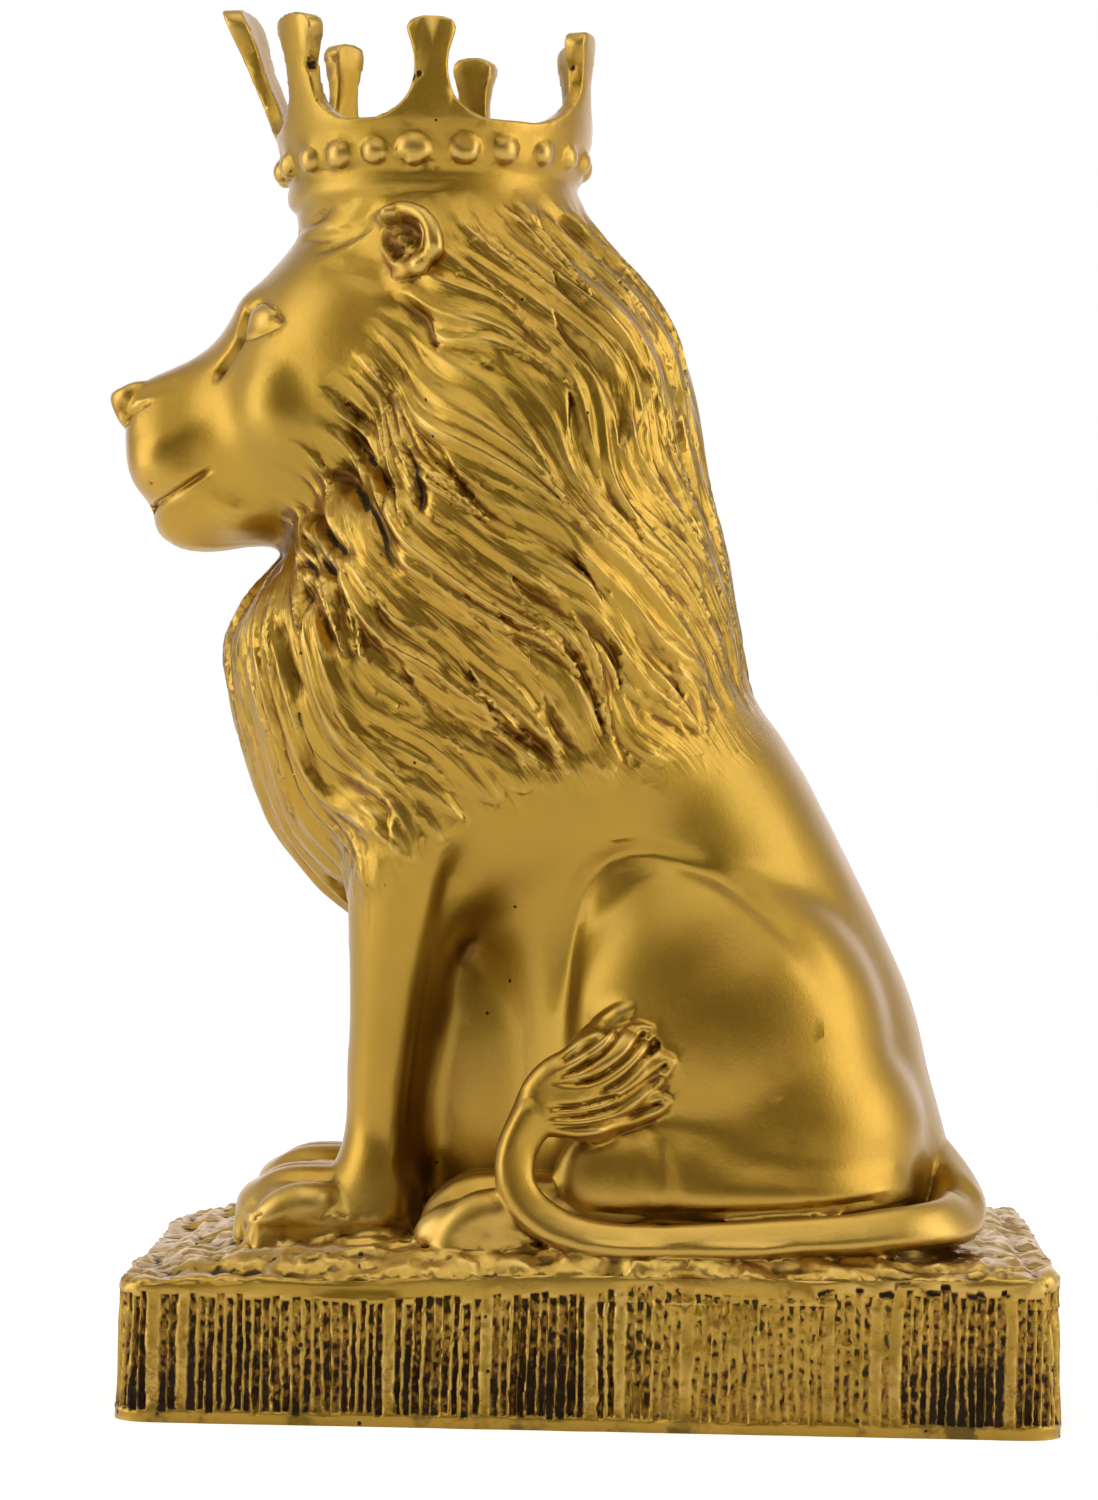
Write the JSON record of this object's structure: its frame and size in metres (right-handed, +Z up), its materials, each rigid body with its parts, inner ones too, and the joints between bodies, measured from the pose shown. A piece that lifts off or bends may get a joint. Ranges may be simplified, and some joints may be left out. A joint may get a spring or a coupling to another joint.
{
  "type": "lion statue",
  "caption": "Seated lion with a full mane, wearing an open beaded crown, its tail curled along its flank, cast in one with a rough rectangular plinth.",
  "frame": {"origin": "middle of the underside, under the middle of the whole casting's box, nose and spikes included", "axes": "+Z up; the lion faces -Y; its left side, where the tail lies, is +X"},
  "size_m": [0.1515, 0.2506, 0.364],
  "materials": {
    "gold_paint": "satin metallic gold paint over cast resin, with a dark brown wash in the grooves of the plinth and the hair"
  },
  "bodies": {
    "root": {"lion_statue": "gold_paint"}
  },
  "joints": []
}
